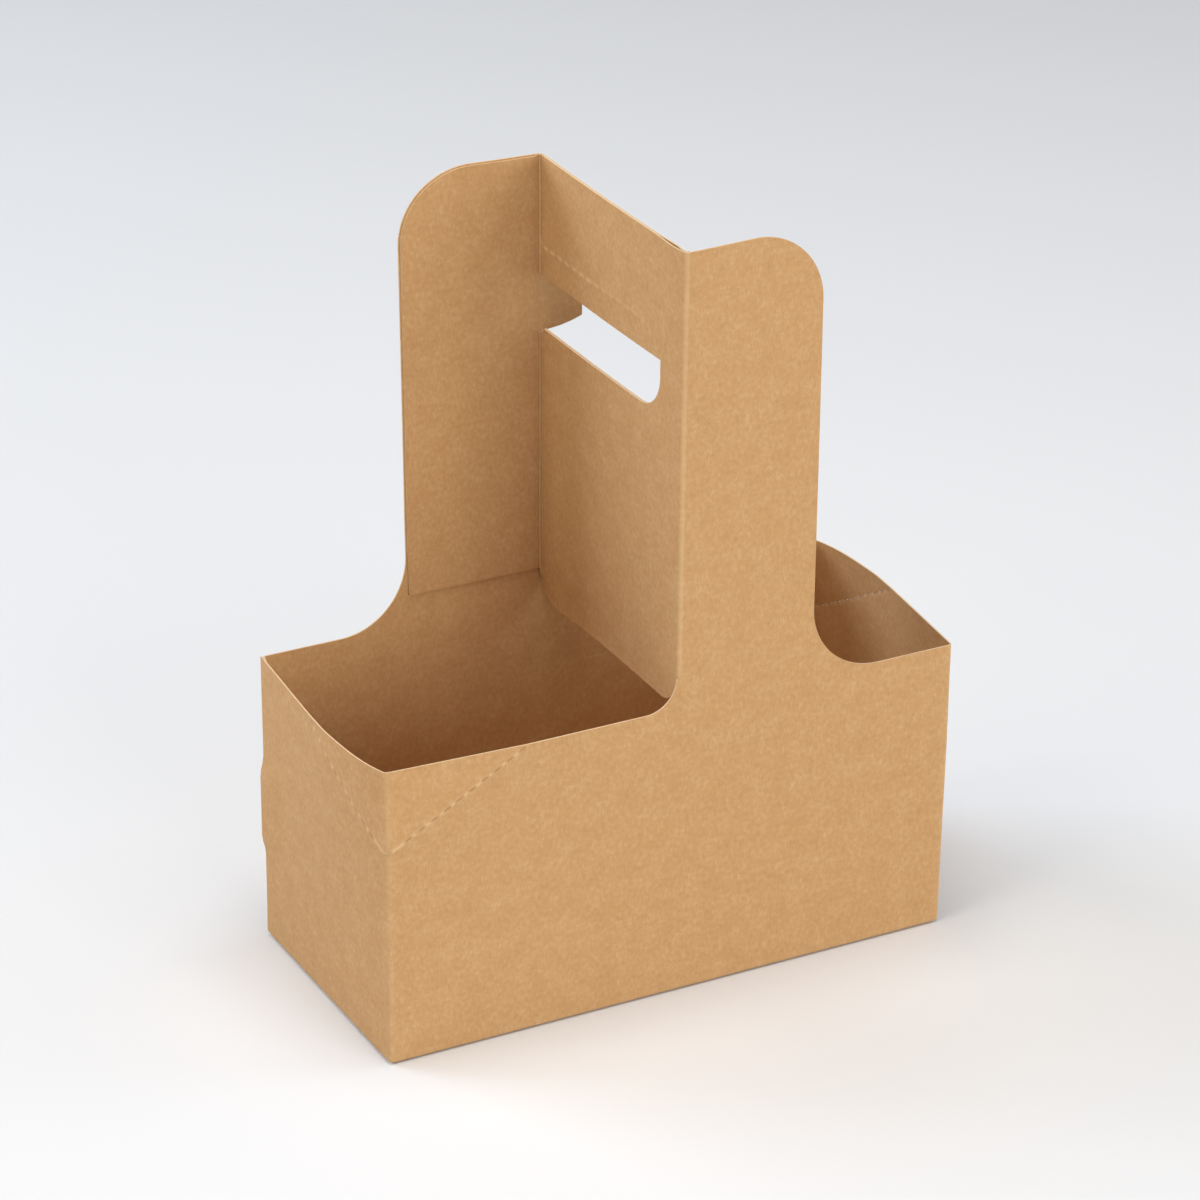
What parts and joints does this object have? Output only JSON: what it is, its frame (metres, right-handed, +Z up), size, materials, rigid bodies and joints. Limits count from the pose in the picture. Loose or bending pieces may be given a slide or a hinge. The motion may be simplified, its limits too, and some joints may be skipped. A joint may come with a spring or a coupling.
{
  "type": "cup carrier",
  "caption": "Folded kraft board carrier: an open box for takeaway cups, with towers at front and back and a divider between them that has a hand hole.",
  "frame": {"origin": "middle of the base, on the surface the carrier stands on", "axes": "+X along the long side of the box, +Y towards the back tower, +Z up"},
  "size_m": [0.181, 0.083, 0.231],
  "materials": {
    "kraft_board": "matt uncoated brown kraft"
  },
  "bodies": {
    "root": {"carrier": "kraft_board"}
  },
  "joints": []
}
